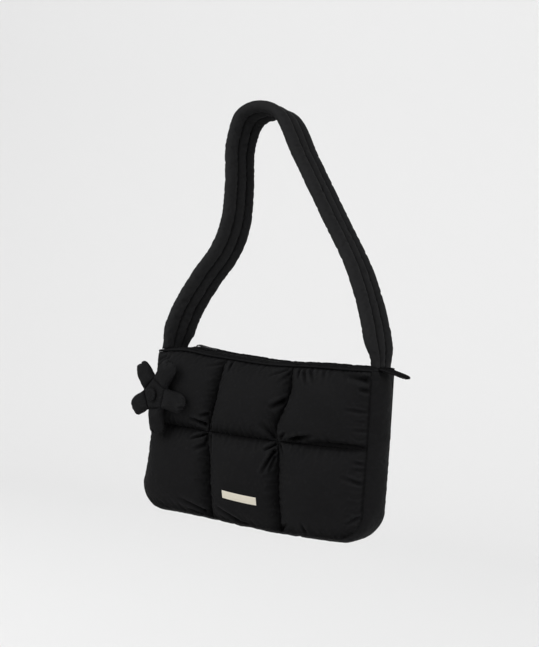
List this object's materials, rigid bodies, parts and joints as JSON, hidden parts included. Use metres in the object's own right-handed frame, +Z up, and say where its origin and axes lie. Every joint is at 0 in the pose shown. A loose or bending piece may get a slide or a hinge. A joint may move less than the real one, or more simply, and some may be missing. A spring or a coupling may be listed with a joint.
{
  "type": "padded shoulder bag",
  "caption": "Soft quilted nylon shoulder bag, hanging by a padded channelled strap, with a zipped top, a stuffed flower charm and a plain woven label.",
  "frame": {"origin": "underside of the strap's top, in the middle of its width, where a hook or a shoulder carries the bag", "axes": "+Z up, +X to the right seen from the front, +Y to the back"},
  "size_m": [0.3623, 0.1574, 0.531],
  "materials": {
    "shell_nylon": "black woven nylon with a soft satin sheen",
    "strap_nylon": "black woven nylon sewn in channels",
    "zip_tape": "black ribbed zip tape",
    "zip_coil": "black nylon coil",
    "zip_metal": "black painted zip slider",
    "flower_nylon": "black stuffed nylon",
    "label_cloth": "cream woven label, bare",
    "pin_steel": "plain steel stud"
  },
  "bodies": {
    "root": {"front_panel": "shell_nylon", "back_panel": "shell_nylon", "gusset": "shell_nylon", "top_strip_front": "shell_nylon", "top_strip_back": "shell_nylon", "zip_end_tab": "shell_nylon", "strap": "strap_nylon", "zip_tape": "zip_tape", "zip_coil": "zip_coil", "zip_slider": "zip_metal", "flower": "flower_nylon", "flower_button": "flower_nylon", "flower_pin": "pin_steel", "label": "label_cloth"}
  },
  "joints": []
}
